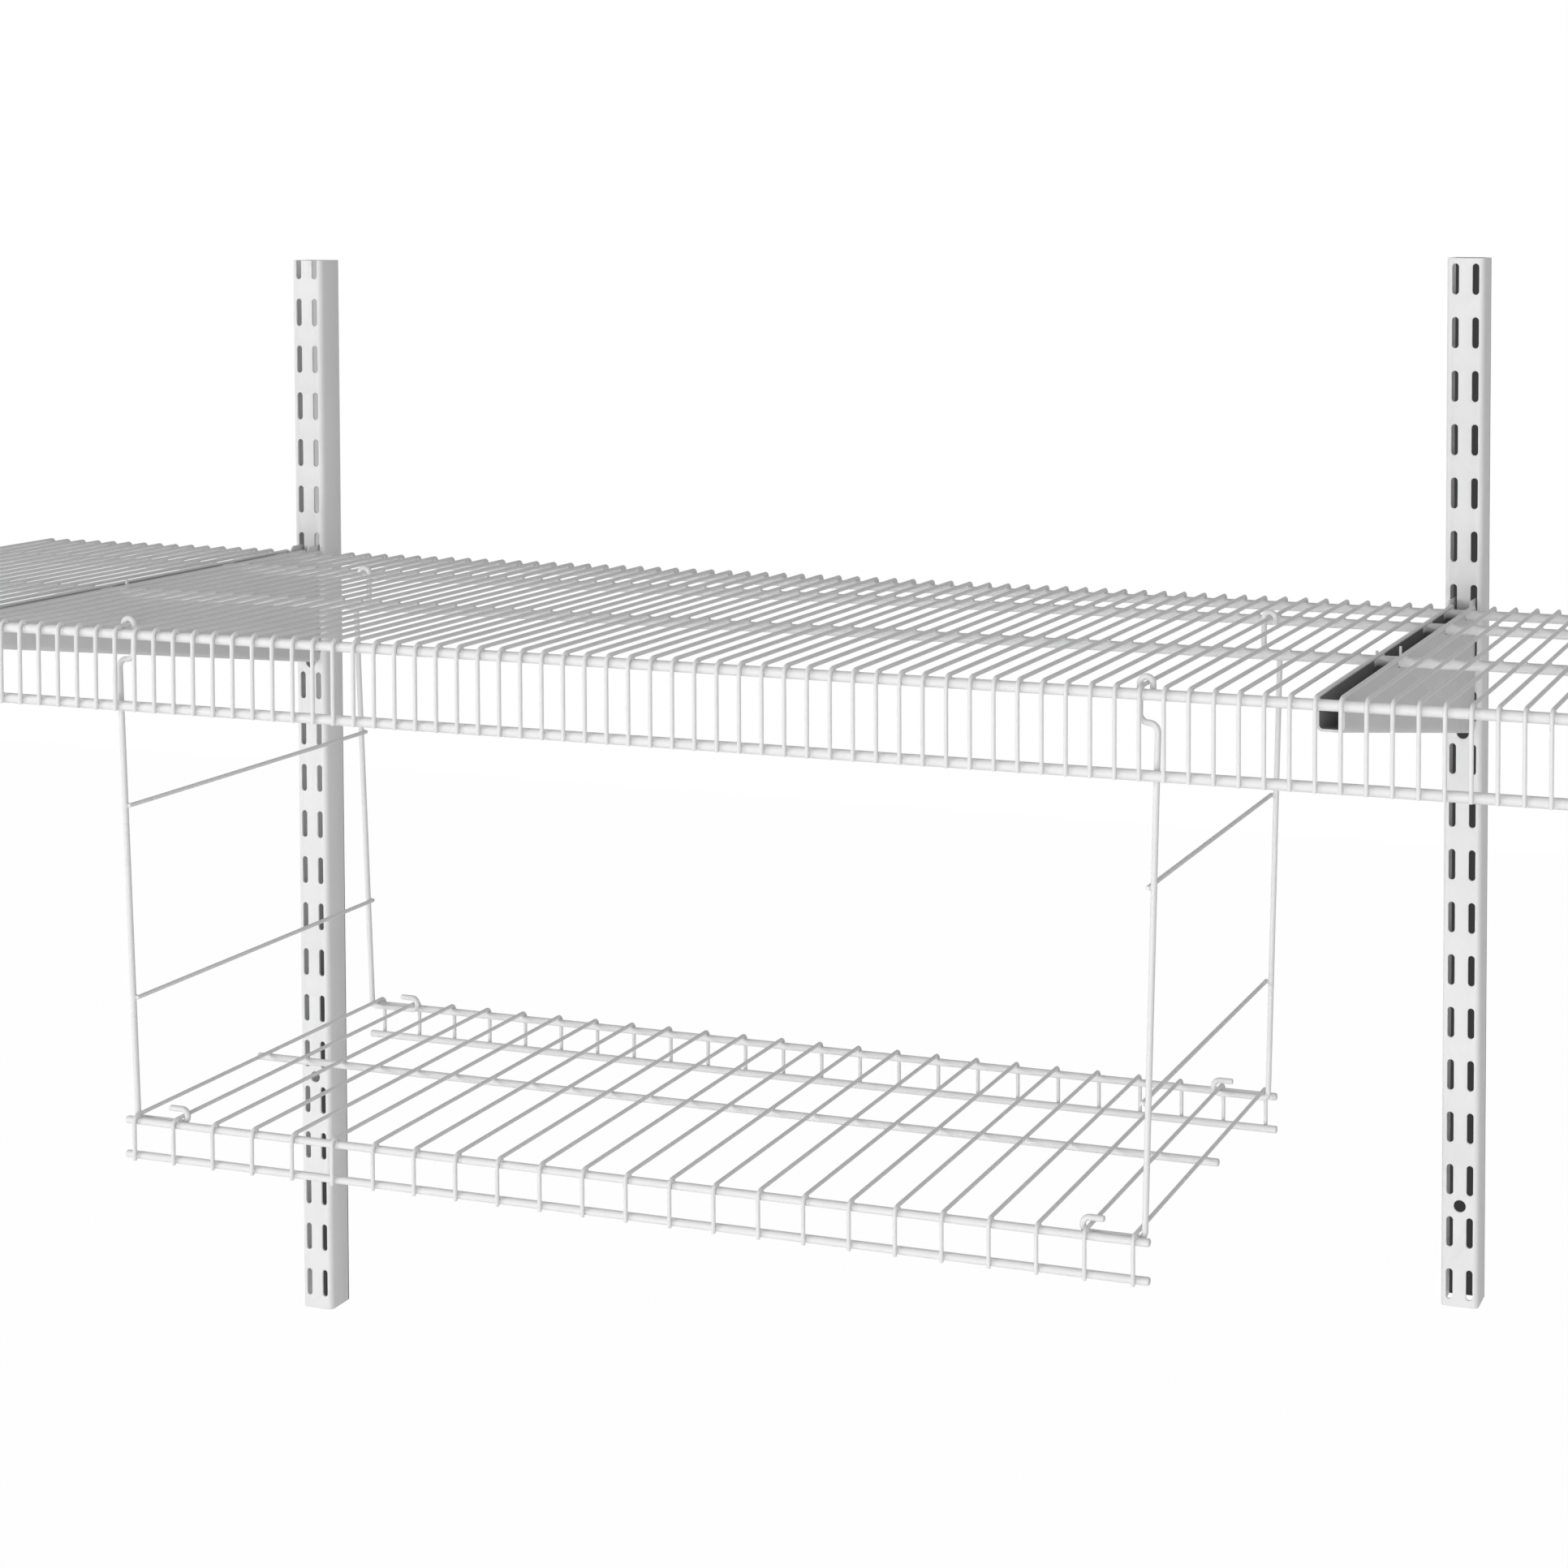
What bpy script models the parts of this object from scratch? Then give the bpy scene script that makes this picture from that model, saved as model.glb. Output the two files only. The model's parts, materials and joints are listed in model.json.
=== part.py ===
"""Wall mounted closet system: two slotted wall standards, two shelf brackets, a wire shelf with a
front lip, and a smaller wire shelf that hangs below it from two wire hangers.

Metres, +Z up. +X runs along the shelves, the front faces -Y and the wall is the plane y = 0.
The origin is on the wall edge of the left standard's inner side wall, level with the shelf rods.
"""

import math

import bpy
from mathutils import Vector

# Driving dimensions
WIRE_PITCH = 0.0127  # upper shelf, one cross-wire to the next
LOWER_PITCH = 0.0254  # lower shelf, one cross-wire to the next
SLOT_PITCH = 0.03175  # one row of slots to the next
STANDARD_SPACING = 0.8001  # between the centre lines of the two standards
UPPER_LENGTH = 1.2185
UPPER_DEPTH = 0.3027  # front wire plane to the rear wire tails
LOWER_LENGTH = 0.5996
LOWER_DEPTH = 0.2286  # front wire plane to rear wire plane
HANG_DROP = 0.270  # upper shelf rods to lower shelf top rails
LEFT_HEIGHT = 0.720  # standards, as far as the photograph shows them
RIGHT_HEIGHT = 0.6295

# Clearances
GAP = 0.0003  # between pieces that touch on the real object
NOTCH_FRONT_GAP = 0.0012  # in front of a rod in its bracket notch
SEAT_GAP = 0.0006  # between a hanger hook and the cross-wire in it
HOOK_GAP = 0.0006  # under and behind a bracket hook in its slot
FOOT_GAP = 0.0006  # between a hanger foot and the cross-wires on it
FOOT_SIDE_GAP = 0.0009  # between a hanger wire and the cross-wire beside it
WELD = 0.00025  # how far a cross-wire sinks into the rod that carries it

# Standards
CHANNEL_WIDTH = 0.023
CHANNEL_DEPTH = 0.0185
CHANNEL_SHEET = 0.0015
CHANNEL_CORNER = 0.003
LEFT_TOP = 0.199
RIGHT_TOP = 0.208
SLOT_LENGTH = 0.0184
SLOT_WIDTH = 0.004
SLOT_COLUMN = 0.0061  # slot column from the centre line
SLOT_ROW_Z = 0.005  # middle of the row that takes the upper bracket hooks
SCREW_HOLE = 0.0037  # radius
SCREW_ROWS = 9  # slot rows between one screw hole and the next
SCREW_OFFSET_ROWS = -2.5  # middle screw hole, in rows from the row of the upper bracket hooks

# Rods and wires, as radii measured to the flats
ROD = 0.0028
RAIL = 0.0021
WIRE = 0.0011
HANGER_WIRE = 0.0016
TIE_WIRE = 0.0012

# Upper shelf
LEFT_OVERHANG = 0.1931  # first cross-wire, outwards of the left standard
ROD_OVERHANG = 0.006  # rod ends beyond the outer cross-wires
WALL_SPACE = 0.0367  # wall to the rear wire tails
LIP_DROP = 0.0398  # upper rods to lip rod
LIP_TAIL = 0.0022  # wire ends below the middle of the lip rod
MID_ROD_FRONT_SHARE = 0.4357  # of the upper depth, from the front
MID_ROD_BACK_SHARE = 0.8057
REAR_TAIL_DROP = 0.0052
REAR_TAIL_LEAN = 0.0012
WIRE_BEND = 0.002

# Lower shelf
LOWER_ADVANCE = 0.0027  # front wire plane, forward of the upper shelf's
LOWER_FIRST_X = 0.1227  # first cross-wire, inwards of the left standard
RAIL_OVERHANG = 0.0077
LOWER_LIP = 0.019  # top rails to bottom rails
LOWER_TAIL = 0.0022
MID_RAIL_SHARE = 0.505  # of the lower depth, from the front
LIP_RETURN = 0.0065  # a lip wire's level end, from the plane of its upright stretch

# Hangers
LEFT_HOOK_WIRE = 24  # upper cross-wire that carries the left hanger, counted from 0
HOOK_RADIUS = 0.0034
HOOK_TIP_DROP = 0.0071  # apex to tip
JOG_DROP = 0.0152  # upper rods to the jog
JOG_OUT = 0.0062  # hook middle to the main wire, outwards
HANGER_LEAN = 0.0067  # hooks behind the feet, as the hangers lean forward
JOG_BEND = 0.0024
FOOT_BEND = 0.0026
FOOT_HOOK_HEIGHT = 0.0074
FOOT_TIP = 0.0078  # straight end of the foot hook, beyond its bend
UPPER_TIE_DROP = 0.0965
LOWER_TIE_DROP = 0.203
TIE_OVERHANG = 0.001  # tie ends, beyond the middles of the wires that they join

# Brackets
BRACKET_WIDTH = 0.0142
BRACKET_SHEET = 0.0014
BRACKET_CORNER = 0.0034
BRACKET_TOP_Z = 0.0024
NOSE_SETBACK = 0.0189  # behind the plane where the upper cross-wires turn down
NOSE_BOTTOM_Z = -0.016
HEEL_BOTTOM_Z = -0.0742
FINGER_TOP_Z = 0.0075
FINGER_WIDTH = 0.0018
FINGER_ROOT = 0.006
TONGUE_SHEET = 0.0012
TONGUE_TOP_Z = 0.0058
TONGUE_REACH = 0.003  # thickness of the hook behind the slotted face
HOOK_DROP = 0.0055
HOOK_ROWS = (0, -2)
SHOULDER_LENGTH = 0.0125  # of the raised end of each wall, from the slotted face
SHOULDER_RUN = 0.004
SHOULDER_ROOT = 0.012

# Facets
ROD_SIDES = 8
WIRE_SIDES = 6
BEND_FACETS = 2
HOOK_FACETS = 3
SLOT_FACETS = 3
HOLE_FACETS = 16
CORNER_FACETS = 3
SMOOTH_ANGLE = math.radians(65)

# Positions that follow
LEFT_X = -(CHANNEL_WIDTH - CHANNEL_SHEET) / 2
RIGHT_X = LEFT_X + STANDARD_SPACING
LEFT_BOTTOM = LEFT_TOP - LEFT_HEIGHT
RIGHT_BOTTOM = RIGHT_TOP - RIGHT_HEIGHT
FACE_Y = -CHANNEL_DEPTH
WEB_Y = FACE_Y + CHANNEL_SHEET
FIRST_WIRE_X = LEFT_X - LEFT_OVERHANG
UPPER_WIRES = round((UPPER_LENGTH - 2 * ROD_OVERHANG) / WIRE_PITCH) + 1
LAST_WIRE_X = FIRST_WIRE_X + (UPPER_WIRES - 1) * WIRE_PITCH
WIRE_Z = ROD + GAP + WIRE
TAIL_Y = -WALL_SPACE
FRONT_PLANE = TAIL_Y - UPPER_DEPTH  # middle of the cross-wires where they turn down
FRONT_ROD_Y = FRONT_PLANE + WIRE + GAP + ROD
LIP_ROD_Y = FRONT_PLANE + WIRE + ROD - WELD
MID_ROD_FRONT_Y = FRONT_PLANE + UPPER_DEPTH * MID_ROD_FRONT_SHARE
MID_ROD_BACK_Y = FRONT_PLANE + UPPER_DEPTH * MID_ROD_BACK_SHARE
REAR_ROD_Y = TAIL_Y - WIRE - GAP - ROD - REAR_TAIL_LEAN
LOWER_FRONT_PLANE = FRONT_PLANE - LOWER_ADVANCE
LOWER_REAR_PLANE = LOWER_FRONT_PLANE + LOWER_DEPTH
LOWER_RAIL_FRONT_Y = LOWER_FRONT_PLANE + WIRE + GAP + RAIL
LOWER_RAIL_REAR_Y = LOWER_REAR_PLANE - WIRE - GAP - RAIL
FOOT_FRONT_Y = LOWER_RAIL_FRONT_Y + RAIL + GAP + HANGER_WIRE
FOOT_REAR_Y = LOWER_RAIL_REAR_Y - RAIL - GAP - HANGER_WIRE
LOWER_FIRST_WIRE_X = LEFT_X + LOWER_FIRST_X
LOWER_WIRES = round((LOWER_LENGTH - 2 * RAIL_OVERHANG) / LOWER_PITCH) + 1
LOWER_LAST_WIRE_X = LOWER_FIRST_WIRE_X + (LOWER_WIRES - 1) * LOWER_PITCH
RIGHT_HOOK_WIRE = LEFT_HOOK_WIRE + round((LOWER_LAST_WIRE_X - LOWER_FIRST_WIRE_X) / WIRE_PITCH) + 1
LOWER_RAIL_Z = -HANG_DROP
LOWER_WIRE_Z = LOWER_RAIL_Z + RAIL + GAP + WIRE
FOOT_Z = LOWER_WIRE_Z - WIRE - FOOT_GAP - HANGER_WIRE
HOOK_APEX_Z = WIRE_Z + WIRE + SEAT_GAP + HANGER_WIRE
NOSE_Y = FRONT_PLANE + NOSE_SETBACK
HEEL_Y = FACE_Y - GAP
NOTCH_Z = -ROD - GAP

# White powder coats, as linear colours
STANDARD_COAT = (0.78, 0.79, 0.79)
BRACKET_COAT = (0.76, 0.77, 0.77)
WIRE_COAT = (0.80, 0.81, 0.81)


def clear_scene():
    for obj in list(bpy.data.objects):
        bpy.data.objects.remove(obj, do_unlink=True)


def coated(name, coat):
    """Coated steel, one material for each piece."""
    material = bpy.data.materials.new(name)
    material.use_nodes = True
    shader = material.node_tree.nodes["Principled BSDF"]
    shader.inputs["Base Color"].default_value = [*coat, 1]
    shader.inputs["Roughness"].default_value = 0.38
    shader.inputs["Metallic"].default_value = 0.0
    return material


def mesh_object(name, points, faces, origin=(0, 0, 0)):
    """An object whose own origin is at origin, with its points given in world space."""
    mesh = bpy.data.meshes.new(name)
    start = Vector(origin)
    mesh.from_pydata([Vector(point) - start for point in points], [], faces)
    mesh.update()
    obj = bpy.data.objects.new(name, mesh)
    obj.location = start
    bpy.context.scene.collection.objects.link(obj)
    return obj


def piece(name, coat, shape, origin=(0, 0, 0)):
    obj = mesh_object(name, *shape, origin)
    obj.data.materials.append(coated(name, coat))
    obj.data.polygons.foreach_set("use_smooth", [True] * len(obj.data.polygons))
    obj.data.set_sharp_from_angle(angle=SMOOTH_ANGLE)
    return obj


def helper(name, shape):
    obj = mesh_object(name, *shape)
    obj.hide_render = True
    obj.display_type = "WIRE"
    return obj


def combine(obj, other, operation):
    modifier = obj.modifiers.new(operation.lower(), "BOOLEAN")
    modifier.operation = operation
    modifier.solver = "EXACT"
    modifier.object = other


def joined(shapes):
    """One (points, faces) pair from many that don't touch."""
    points = []
    faces = []
    for some_points, some_faces in shapes:
        start = len(points)
        points += some_points
        faces += [[index + start for index in face] for face in some_faces]
    return points, faces


def loft(rings):
    """A closed skin over rings that have the same number of points, with flat ends."""
    count = len(rings[0])
    points = [point for ring in rings for point in ring]
    faces = [list(reversed(range(count)))]
    for level in range(len(rings) - 1):
        low = level * count
        for side in range(count):
            after = (side + 1) % count
            faces.append([low + side, low + after, low + count + after, low + count + side])
    faces.append([(len(rings) - 1) * count + side for side in range(count)])
    return points, faces


def arc(centre, radius, start, end, facets):
    """Points in a plane from one angle to the other, in degrees, both ends included."""
    spots = []
    for step in range(facets + 1):
        angle = math.radians(start + (end - start) * step / facets)
        spots.append((centre[0] + radius * math.cos(angle), centre[1] + radius * math.sin(angle)))
    return spots


def rounded(corners):
    """A flat path through (a, b, radius, facets) corners; a corner of radius 0 stays a point."""
    path = []
    for index, (a, b, radius, facets) in enumerate(corners):
        here = Vector((a, b))
        if radius == 0:
            path.append(here)
            continue
        back = (Vector(corners[index - 1][:2]) - here).normalized()
        ahead = (Vector(corners[index + 1][:2]) - here).normalized()
        half = back.angle(ahead) / 2
        middle = here + (back + ahead).normalized() * radius / math.sin(half)
        first = here + back * radius / math.tan(half) - middle
        turn = first.angle_signed(here + ahead * radius / math.tan(half) - middle)
        for step in range(facets + 1):
            angle = -turn * step / facets
            cos, sin = math.cos(angle), math.sin(angle)
            point = middle + Vector((first.x * cos - first.y * sin, first.x * sin + first.y * cos))
            if step > 0 or (point - path[-1]).length > GAP:
                path.append(point)
    return path


def swept(path, across, radius, sides):
    """A wire of even thickness along a path of world points that lies in a plane; across is the
    direction square to that plane. The flats of its section are at the given radius."""
    path = [Vector(point) for point in path]
    across = Vector(across).normalized()
    corner = radius / math.cos(math.pi / sides)
    rings = []
    for index, point in enumerate(path):
        legs = []
        if index > 0:
            legs.append((point - path[index - 1]).normalized())
        if index < len(path) - 1:
            legs.append((path[index + 1] - point).normalized())
        along = sum(legs, Vector()).normalized()
        stretch = 1 / along.dot(legs[0])
        side = across.cross(along)
        ring = []
        for step in range(sides):
            angle = 2 * math.pi * (step + 0.5) / sides
            offset = side * math.cos(angle) * stretch + across * math.sin(angle)
            ring.append(point + offset * corner)
        rings.append(ring)
    return loft(rings)


def bar(first_x, last_x, y, z, radius):
    return swept([(first_x, y, z), (last_x, y, z)], (0, 1, 0), radius, ROD_SIDES)


def extruded(outline, place):
    """A flat outline between two planes; place turns an outline point and 0 or 1 into a world point."""
    return loft([[place(a, b, end) for a, b in outline] for end in (0, 1)])


# Standards
def channel_outline(centre_x):
    """The section of a standard in X and Y, open towards the wall."""
    half = CHANNEL_WIDTH / 2
    inner = CHANNEL_CORNER - CHANNEL_SHEET
    left = centre_x - half + CHANNEL_CORNER
    right = centre_x + half - CHANNEL_CORNER
    y = FACE_Y + CHANNEL_CORNER
    outline = [(centre_x - half, 0)]
    outline += arc((left, y), CHANNEL_CORNER, 180, 270, CORNER_FACETS)
    outline += arc((right, y), CHANNEL_CORNER, 270, 360, CORNER_FACETS)
    outline += [(centre_x + half, 0), (centre_x + half - CHANNEL_SHEET, 0)]
    outline += arc((right, y), inner, 360, 270, CORNER_FACETS)
    outline += arc((left, y), inner, 270, 180, CORNER_FACETS)
    outline.append((centre_x - half + CHANNEL_SHEET, 0))
    return outline


def slot_outline(x, z):
    half = SLOT_WIDTH / 2
    straight = SLOT_LENGTH / 2 - half
    outline = arc((x, z + straight), half, 0, 180, SLOT_FACETS)
    return outline + arc((x, z - straight), half, 180, 360, SLOT_FACETS)


def hole_outline(x, z):
    return arc((x, z), SCREW_HOLE, 0, 360, HOLE_FACETS)[:-1]


def through_web(outline):
    """A cutter through the slotted face and no further."""
    ends = (WEB_Y + CHANNEL_SHEET, FACE_Y - CHANNEL_SHEET)
    return extruded(outline, lambda x, z, end: (x, ends[end], z))


def standard(name, centre_x, bottom, top):
    ends = (bottom, top)
    shape = extruded(channel_outline(centre_x), lambda x, y, end: (x, y, ends[end]))
    obj = piece(name, STANDARD_COAT, shape, (centre_x, 0, 0))
    cuts = []
    first_row = math.ceil((bottom - SLOT_ROW_Z) / SLOT_PITCH)
    last_row = math.floor((top - SLOT_ROW_Z) / SLOT_PITCH)
    for row in range(first_row, last_row + 1):
        z = SLOT_ROW_Z + row * SLOT_PITCH
        for side in (-1, 1):
            cuts.append(through_web(slot_outline(centre_x + side * SLOT_COLUMN, z)))
    for step in (-1, 0, 1):
        z = SLOT_ROW_Z + (SCREW_OFFSET_ROWS + step * SCREW_ROWS) * SLOT_PITCH
        if bottom < z < top:
            cuts.append(through_web(hole_outline(centre_x, z)))
    combine(obj, helper(name + "_cutter", joined(cuts)), "DIFFERENCE")


# Brackets
def bracket_section(centre_x, y, bottom):
    """The U section of a bracket at one distance from the wall."""
    half = BRACKET_WIDTH / 2
    inner_half = half - BRACKET_SHEET
    inner = BRACKET_CORNER - BRACKET_SHEET
    flat = half - BRACKET_CORNER
    z = bottom + BRACKET_CORNER
    outline = [(-half, BRACKET_TOP_Z)]
    outline += arc((-flat, z), BRACKET_CORNER, 180, 270, CORNER_FACETS)
    outline += arc((flat, z), BRACKET_CORNER, 270, 360, CORNER_FACETS)
    outline += [(half, BRACKET_TOP_Z), (inner_half, BRACKET_TOP_Z)]
    outline += arc((flat, z), inner, 360, 270, CORNER_FACETS)
    outline += arc((-flat, z), inner, 270, 180, CORNER_FACETS)
    outline.append((-inner_half, BRACKET_TOP_Z))
    return [(centre_x + x, y, height) for x, height in outline]


def notch_box(centre_x, rod_y):
    """A cutter across both bracket walls that lets a rod down into them."""
    half = BRACKET_WIDTH / 2 + BRACKET_SHEET
    outline = [
        (rod_y - ROD - NOTCH_FRONT_GAP, NOTCH_Z),
        (rod_y + ROD + GAP, NOTCH_Z),
        (rod_y + ROD + GAP, BRACKET_TOP_Z + ROD),
        (rod_y - ROD - NOTCH_FRONT_GAP, BRACKET_TOP_Z + ROD),
    ]
    ends = (centre_x - half, centre_x + half)
    return extruded(outline, lambda y, z, end: (ends[end], y, z))


def hook_outline(row, shoulder):
    """A bracket hook from the side: through the slot, then down behind the slotted face."""
    slot_bottom = SLOT_ROW_Z + row * SLOT_PITCH - SLOT_LENGTH / 2
    low = slot_bottom + HOOK_GAP
    high = TONGUE_TOP_Z + row * SLOT_PITCH
    inside = WEB_Y + HOOK_GAP
    root = HEEL_Y - SHOULDER_LENGTH
    outline = [
        (inside + TONGUE_REACH, high),
        (inside + TONGUE_REACH, low - HOOK_DROP),
        (inside, low - HOOK_DROP),
        (inside, low),
        (HEEL_Y - CHANNEL_SHEET, low),
    ]
    if not shoulder:
        return [*outline, (root, low), (root, high)]
    return [
        *outline,
        (HEEL_Y - CHANNEL_SHEET, BRACKET_TOP_Z - SHOULDER_ROOT),
        (root, BRACKET_TOP_Z - SHOULDER_ROOT),
        (root, 0),
        (root + SHOULDER_RUN, high),
    ]


def finger_outline():
    """The retaining finger behind the middle rod nearest the front."""
    back = MID_ROD_FRONT_Y + ROD + GAP
    return [
        (back + FINGER_WIDTH, BRACKET_TOP_Z - FINGER_ROOT),
        (back + FINGER_WIDTH, FINGER_TOP_Z),
        (back + GAP, FINGER_TOP_Z),
        (back + GAP, BRACKET_TOP_Z - FINGER_ROOT),
    ]


def wall_plate(centre_x, side, outline):
    middle = centre_x + side * (BRACKET_WIDTH - BRACKET_SHEET) / 2
    ends = (middle + TONGUE_SHEET / 2, middle - TONGUE_SHEET / 2)
    return extruded(outline, lambda y, z, end: (ends[end], y, z))


def bracket(name, centre_x):
    heel = bracket_section(centre_x, HEEL_Y, HEEL_BOTTOM_Z)
    nose = bracket_section(centre_x, NOSE_Y, NOSE_BOTTOM_Z)
    obj = piece(name, BRACKET_COAT, loft([heel, nose]), (centre_x, FACE_Y, 0))
    notches = [notch_box(centre_x, y) for y in (MID_ROD_FRONT_Y, MID_ROD_BACK_Y, REAR_ROD_Y)]
    combine(obj, helper(name + "_notches", joined(notches)), "DIFFERENCE")
    plates = []
    for side in (-1, 1):
        plates.append(wall_plate(centre_x, side, finger_outline()))
        for row in HOOK_ROWS:
            plates.append(wall_plate(centre_x, side, hook_outline(row, row == 0)))
    combine(obj, helper(name + "_plates", joined(plates)), "UNION")


# Shelves
def wire_mat(name, rod, path, centres):
    """Cross-wires on one (Y, Z) path, one at each X, joined to the rod that carries them."""
    mat = piece(name, WIRE_COAT, rod)
    wires = [swept([(x, y, z) for y, z in path], (1, 0, 0), WIRE, WIRE_SIDES) for x in centres]
    combine(mat, helper(name + "_wires", joined(wires)), "UNION")


def upper_shelf():
    low_x = FIRST_WIRE_X - ROD_OVERHANG
    high_x = LAST_WIRE_X + ROD_OVERHANG
    path = rounded(
        [
            (TAIL_Y, WIRE_Z - REAR_TAIL_DROP, 0, 0),
            (TAIL_Y - REAR_TAIL_LEAN, WIRE_Z, 0, 0),
            (FRONT_PLANE, WIRE_Z, WIRE_BEND, 1),
            (FRONT_PLANE, -LIP_DROP - LIP_TAIL, 0, 0),
        ]
    )
    centres = [FIRST_WIRE_X + index * WIRE_PITCH for index in range(UPPER_WIRES)]
    wire_mat("upper_shelf_mat", bar(low_x, high_x, LIP_ROD_Y, -LIP_DROP, ROD), path, centres)
    rods = {
        "upper_front_rod": FRONT_ROD_Y,
        "upper_mid_rod_front": MID_ROD_FRONT_Y,
        "upper_mid_rod_back": MID_ROD_BACK_Y,
        "upper_rear_rod": REAR_ROD_Y,
    }
    for name, y in rods.items():
        piece(name, WIRE_COAT, bar(low_x, high_x, y, 0, ROD))


def lower_shelf():
    """The deck and both lips are nodes of their own, parted just past the bends of the cross-wires."""
    low_x = LOWER_FIRST_WIRE_X - RAIL_OVERHANG
    high_x = LOWER_LAST_WIRE_X + RAIL_OVERHANG
    bottom_z = LOWER_RAIL_Z - LOWER_LIP
    centres = [LOWER_FIRST_WIRE_X + index * LOWER_PITCH for index in range(LOWER_WIRES)]
    for name, plane, inwards in (("front", LOWER_FRONT_PLANE, 1), ("rear", LOWER_REAR_PLANE, -1)):
        rail_y = plane + inwards * (WIRE + RAIL - WELD)
        path = rounded(
            [
                (plane + inwards * LIP_RETURN, LOWER_WIRE_Z, 0, 0),
                (plane, LOWER_WIRE_Z, WIRE_BEND, 1),
                (plane, bottom_z - LOWER_TAIL, 0, 0),
            ]
        )
        wire_mat(f"lower_{name}_lip", bar(low_x, high_x, rail_y, bottom_z, RAIL), path, centres)
    ends = (LOWER_FRONT_PLANE + LIP_RETURN + GAP, LOWER_REAR_PLANE - LIP_RETURN - GAP)
    middle_y = LOWER_FRONT_PLANE + LOWER_DEPTH * MID_RAIL_SHARE
    middle_z = LOWER_WIRE_Z - WIRE - RAIL + WELD
    path = [(y, LOWER_WIRE_Z) for y in ends]
    wire_mat("lower_deck", bar(low_x, high_x, middle_y, middle_z, RAIL), path, centres)
    for name, y in (("front", LOWER_RAIL_FRONT_Y), ("rear", LOWER_RAIL_REAR_Y)):
        piece(f"lower_{name}_top_rail", WIRE_COAT, bar(low_x, high_x, y, LOWER_RAIL_Z, RAIL))


# Hangers
def hanger(side_name, side, hook_wire, end_wire_x):
    """The two bent wires of one end, with two ties on their inner side; side is -1 on the left."""
    hook_x = FIRST_WIRE_X + hook_wire * WIRE_PITCH
    foot_out = side * (end_wire_x - hook_x) + WIRE + FOOT_SIDE_GAP + HANGER_WIRE
    inner_out = foot_out - LOWER_PITCH - 2 * (WIRE + FOOT_SIDE_GAP + HANGER_WIRE)
    hook_bend = FOOT_HOOK_HEIGHT / 2
    hook_top = FOOT_Z + FOOT_HOOK_HEIGHT
    path = rounded(
        [
            (HOOK_RADIUS, HOOK_APEX_Z - HOOK_TIP_DROP, 0, 0),
            (HOOK_RADIUS, HOOK_APEX_Z, HOOK_RADIUS, HOOK_FACETS),
            (-HOOK_RADIUS, HOOK_APEX_Z, HOOK_RADIUS, HOOK_FACETS),
            (-HOOK_RADIUS, -JOG_DROP, JOG_BEND, BEND_FACETS),
            (JOG_OUT, -JOG_DROP, JOG_BEND, BEND_FACETS),
            (foot_out, FOOT_Z, FOOT_BEND, BEND_FACETS),
            (inner_out, FOOT_Z, hook_bend, HOOK_FACETS),
            (inner_out, hook_top, hook_bend, HOOK_FACETS),
            (inner_out + hook_bend + FOOT_TIP, hook_top, 0, 0),
        ]
    )
    lean = HANGER_LEAN / (HOOK_APEX_Z - FOOT_Z)
    origin = (hook_x, FOOT_FRONT_Y + HANGER_LEAN, HOOK_APEX_Z)
    for place, foot_y in (("front", FOOT_FRONT_Y), ("rear", FOOT_REAR_Y)):
        points = [(hook_x + side * out, foot_y + lean * (z - FOOT_Z), z) for out, z in path]
        shape = swept(points, (0, 1, -lean), HANGER_WIRE, ROD_SIDES)
        piece(f"{side_name}_hanger_{place}_wire", WIRE_COAT, shape, origin)
    slope = (foot_out - JOG_OUT) / (FOOT_Z + JOG_DROP)
    for place, z in (("upper", -UPPER_TIE_DROP), ("lower", -LOWER_TIE_DROP)):
        out = JOG_OUT + slope * (z + JOG_DROP) - HANGER_WIRE - GAP - TIE_WIRE
        x = hook_x + side * out
        shift = lean * (z - FOOT_Z)
        ends = (FOOT_FRONT_Y + shift - TIE_OVERHANG, FOOT_REAR_Y + shift + TIE_OVERHANG)
        shape = swept([(x, y, z) for y in ends], (0, 0, 1), TIE_WIRE, ROD_SIDES)
        piece(f"{side_name}_hanger_{place}_tie", WIRE_COAT, shape, origin)


clear_scene()
standard("left_standard", LEFT_X, LEFT_BOTTOM, LEFT_TOP)
standard("right_standard", RIGHT_X, RIGHT_BOTTOM, RIGHT_TOP)
bracket("left_bracket", LEFT_X)
bracket("right_bracket", RIGHT_X)
upper_shelf()
lower_shelf()
hanger("left", -1, LEFT_HOOK_WIRE, LOWER_FIRST_WIRE_X)
hanger("right", 1, RIGHT_HOOK_WIRE, LOWER_LAST_WIRE_X)
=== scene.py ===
"""Looks of the wall mounted closet system.

Coated wire shelves and hangers, pressed steel brackets and slotted standards, lit as a product on
white. Metres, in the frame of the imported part: +X along the shelves, +Y into the wall, +Z up.
"""

import json
import math

import bpy
from mathutils import Matrix, Vector

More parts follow.
